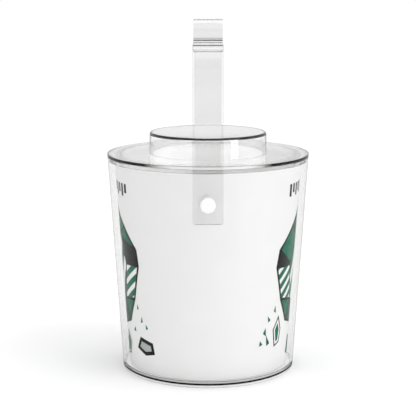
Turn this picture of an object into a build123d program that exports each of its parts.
from build123d import *
import os

# Double-wall ice bucket with a lift-off lid and a swinging strap handle.
# Millimetres, +Z up, origin at the centre of the foot. The handle pivots on the Y axis direction.

# Double wall: every wall follows the outer shell's cone, at its own depth inside it
BASE_RADIUS = 76.8
RIM_RADIUS = 88.9
SHELL_TOP = 189.9
SHELL_WALL = 2.2
RABBET_DEPTH = 3.4
RABBET_RADIUS = 87.3
GLUE_GAP = 0.1

BASE_PLATE_THICKNESS = 3.0
BASE_STEP_HEIGHT = 2.0

INSERT_DEPTH = 6.3
INSERT_THICKNESS = 0.35
INSERT_TOP = 186.0

LINER_DEPTH = 6.9
LINER_WALL = 2.0
LINER_BOTTOM = 9.0
LINER_FLOOR = 2.5
LINER_INNER_FILLET = 8.0
FLANGE_EDGE_ROUND = 0.4

# Lid
LID_RADIUS = 89.0
LID_THICKNESS = 2.7
LID_SEAT_GAP = 0.1
LID_EDGE_ROUND = 0.4
CAP_BASE_RADIUS = 51.8
CAP_TOP_RADIUS = 51.5
CAP_HEIGHT = 18.5
CAP_WALL = 2.2
CAP_TOP_THICKNESS = 2.5
CAP_EDGE_ROUND = 0.6
PLUG_RADIUS = 78.6
PLUG_WALL = 2.2
PLUG_DEPTH = 8.0

# Handle strap: its centre line, seen along X, is two legs, two shoulders, a flat top and a hump
STRAP_WIDTH = 25.4
STRAP_THICKNESS = 3.2
STRAP_HALF_SPAN = 92.2
STRAP_LOW_END = 145.2
STRAP_END_ROUND = 3.0
SHOULDER_START = 257.0
SHOULDER_RADIUS = 31.8
HUMP_HALF_WIDTH = 8.8
HUMP_FOOT_BEND = 3.2
HUMP_CENTRE_HEIGHT = 299.0

# Pivots
PIVOT_HEIGHT = 161.3
SHANK_RADIUS = 3.0
STRAP_HOLE_CLEARANCE = 0.08
WALL_HOLE_CLEARANCE = 0.05
STRAP_SIDE_PLAY = 0.1
BUTTON_RADIUS = 6.35
BUTTON_HEIGHT = 2.3
BUTTON_ROUND = 1.0
SPACER_RADIUS = 6.0
RETAINER_RADIUS = 6.0
RETAINER_THICKNESS = 2.0
RETAINER_FACE = 84.4
SHANK_END = 82.0

LID_BOTTOM = SHELL_TOP + LID_SEAT_GAP
LID_TOP = LID_BOTTOM + LID_THICKNESS
BASE_STEP_TOP = BASE_PLATE_THICKNESS + BASE_STEP_HEIGHT
FLANGE_BOTTOM = SHELL_TOP - RABBET_DEPTH
STRAP_OUTER_FACE = STRAP_HALF_SPAN + STRAP_THICKNESS / 2
STRAP_INNER_FACE = STRAP_HALF_SPAN - STRAP_THICKNESS / 2


def cone_radius(height, depth=0.0):
    """Radius of the double wall's cone at a height, a given depth inside its outer surface."""
    return BASE_RADIUS + (RIM_RADIUS - BASE_RADIUS) * height / SHELL_TOP - depth


def cone_solid(low, high, depth=0.0):
    """Solid frustum between two heights, a given depth inside the outer cone."""
    profile = Polyline(
        (0, low),
        (cone_radius(low, depth), low),
        (cone_radius(high, depth), high),
        (0, high),
        close=True,
    )
    return revolve(Plane.XZ * make_face(profile), Axis.Z)


def disc(radius, low, high):
    """Upright cylinder between two heights."""
    return Pos(0, 0, (low + high) / 2) * Cylinder(radius, high - low)


def pivot_rod(radius, near, far):
    """Cylinder on the front pivot axis, between two distances from the bucket's axis."""
    centre = Pos(0, -(near + far) / 2, PIVOT_HEIGHT)
    return centre * Rot(X=90) * Cylinder(radius, far - near)


def rim_edges(solid, height):
    """Circular edges of a solid at one height."""
    return [edge for edge in solid.edges().filter_by(GeomType.CIRCLE) if abs(edge.center().Z - height) < 0.01]


def outer_edge(solid, height):
    """The widest circular edge at one height."""
    return max(rim_edges(solid, height), key=lambda edge: edge.radius)


def back(solid):
    """The same piece on the back pivot."""
    return mirror(solid, Plane.XZ)


def make_outer_shell():
    wall = cone_solid(BASE_PLATE_THICKNESS, SHELL_TOP)
    wall -= cone_solid(BASE_PLATE_THICKNESS, SHELL_TOP, SHELL_WALL)
    wall -= disc(RABBET_RADIUS, FLANGE_BOTTOM, SHELL_TOP)
    hole = pivot_rod(SHANK_RADIUS + WALL_HOLE_CLEARANCE, SHANK_END, RIM_RADIUS)
    return wall - hole - back(hole)


def make_base_plate():
    plate = cone_solid(0, BASE_PLATE_THICKNESS)
    step_radius = cone_radius(BASE_PLATE_THICKNESS, SHELL_WALL + GLUE_GAP)
    return plate + disc(step_radius, BASE_PLATE_THICKNESS, BASE_STEP_TOP)


def make_inner_liner():
    body = cone_solid(LINER_BOTTOM, SHELL_TOP, LINER_DEPTH)
    body = fillet(outer_edge(body, LINER_BOTTOM), LINER_INNER_FILLET + LINER_WALL)
    flange = disc(RABBET_RADIUS - GLUE_GAP, FLANGE_BOTTOM, SHELL_TOP)
    body += fillet(outer_edge(flange, SHELL_TOP), FLANGE_EDGE_ROUND)
    floor_top = LINER_BOTTOM + LINER_FLOOR
    hollow = cone_solid(floor_top, SHELL_TOP, LINER_DEPTH + LINER_WALL)
    return body - fillet(outer_edge(hollow, floor_top), LINER_INNER_FILLET)


def make_printed_insert():
    sleeve = cone_solid(BASE_STEP_TOP, INSERT_TOP, INSERT_DEPTH)
    return sleeve - cone_solid(BASE_STEP_TOP, INSERT_TOP, INSERT_DEPTH + INSERT_THICKNESS)


def make_lid_plate():
    plate = disc(LID_RADIUS, LID_BOTTOM, LID_TOP)
    return fillet(rim_edges(plate, LID_BOTTOM) + rim_edges(plate, LID_TOP), LID_EDGE_ROUND)


def make_lid_cap():
    middle = Pos(0, 0, LID_TOP + CAP_HEIGHT / 2)
    cup = middle * Cone(CAP_BASE_RADIUS, CAP_TOP_RADIUS, CAP_HEIGHT)
    cup = fillet(outer_edge(cup, LID_TOP + CAP_HEIGHT), CAP_EDGE_ROUND)
    hollow_radius = CAP_TOP_RADIUS - CAP_WALL
    return cup - disc(hollow_radius, LID_TOP, LID_TOP + CAP_HEIGHT - CAP_TOP_THICKNESS)


def make_lid_plug_ring():
    ring = disc(PLUG_RADIUS, LID_BOTTOM - PLUG_DEPTH, LID_BOTTOM)
    return ring - disc(PLUG_RADIUS - PLUG_WALL, LID_BOTTOM - PLUG_DEPTH, LID_BOTTOM)


def half_strap_side(offset):
    """Left half of the strap's side view, the given distance outside its centre line."""
    leg = -(STRAP_HALF_SPAN + offset)
    shoulder_centre = SHOULDER_RADIUS - STRAP_HALF_SPAN
    flat_height = SHOULDER_START + SHOULDER_RADIUS
    foot_centre = -(HUMP_HALF_WIDTH + HUMP_FOOT_BEND)
    foot_height = flat_height + HUMP_FOOT_BEND
    hump_side = -(HUMP_HALF_WIDTH + offset)
    side = Line((leg, STRAP_LOW_END), (leg, SHOULDER_START))
    side += CenterArc((shoulder_centre, SHOULDER_START), SHOULDER_RADIUS + offset, 180, -90)
    side += Line((shoulder_centre, flat_height + offset), (foot_centre, flat_height + offset))
    side += CenterArc((foot_centre, foot_height), HUMP_FOOT_BEND - offset, -90, 90)
    side += Line((hump_side, foot_height), (hump_side, HUMP_CENTRE_HEIGHT))
    side += CenterArc((0, HUMP_CENTRE_HEIGHT), HUMP_HALF_WIDTH + offset, 180, -90)
    return side


def make_handle_strap():
    half = half_strap_side(STRAP_THICKNESS / 2) + half_strap_side(-STRAP_THICKNESS / 2)
    half += Line((-STRAP_OUTER_FACE, STRAP_LOW_END), (-STRAP_INNER_FACE, STRAP_LOW_END))
    crest = HUMP_CENTRE_HEIGHT + HUMP_HALF_WIDTH
    half += Line((0, crest - STRAP_THICKNESS / 2), (0, crest + STRAP_THICKNESS / 2))
    half_strap = extrude(Plane.YZ * make_face(half), STRAP_WIDTH / 2, both=True)
    low_corners = half_strap.edges().filter_by(Axis.Y).group_by(Axis.Z)[0]
    half_strap = fillet(low_corners, STRAP_END_ROUND)
    half_strap -= pivot_rod(SHANK_RADIUS + STRAP_HOLE_CLEARANCE, STRAP_INNER_FACE - 1, STRAP_OUTER_FACE + 1)
    return half_strap + back(half_strap)


def make_pivot_button():
    head_start = STRAP_OUTER_FACE + STRAP_SIDE_PLAY
    head = pivot_rod(BUTTON_RADIUS, head_start, head_start + BUTTON_HEIGHT)
    rim = head.edges().filter_by(GeomType.CIRCLE).sort_by(Axis.Y)[0]
    return fillet(rim, BUTTON_ROUND) + pivot_rod(SHANK_RADIUS, SHANK_END, head_start)


def make_pivot_spacer():
    rod = pivot_rod(SPACER_RADIUS, RETAINER_FACE, STRAP_INNER_FACE - STRAP_SIDE_PLAY)
    rod -= pivot_rod(SHANK_RADIUS + WALL_HOLE_CLEARANCE, SHANK_END, STRAP_INNER_FACE)
    return rod - cone_solid(0, SHELL_TOP, -WALL_HOLE_CLEARANCE)


def make_pivot_retainer():
    washer = pivot_rod(RETAINER_RADIUS, RETAINER_FACE - RETAINER_THICKNESS, RETAINER_FACE)
    return washer - pivot_rod(SHANK_RADIUS + WALL_HOLE_CLEARANCE, SHANK_END, RETAINER_FACE)


pieces = {
    "outer_shell": make_outer_shell(),
    "base_plate": make_base_plate(),
    "inner_liner": make_inner_liner(),
    "printed_insert": make_printed_insert(),
    "lid_plate": make_lid_plate(),
    "lid_cap": make_lid_cap(),
    "lid_plug_ring": make_lid_plug_ring(),
    "handle_strap": make_handle_strap(),
}
pivot_pieces = {
    "pivot_button": make_pivot_button(),
    "pivot_spacer": make_pivot_spacer(),
    "pivot_retainer": make_pivot_retainer(),
}
for name, piece in pivot_pieces.items():
    pieces["front_" + name] = piece
    pieces["back_" + name] = back(piece)

os.makedirs("parts", exist_ok=True)
for name, piece in pieces.items():
    export_step(piece, f"parts/{name}.step")
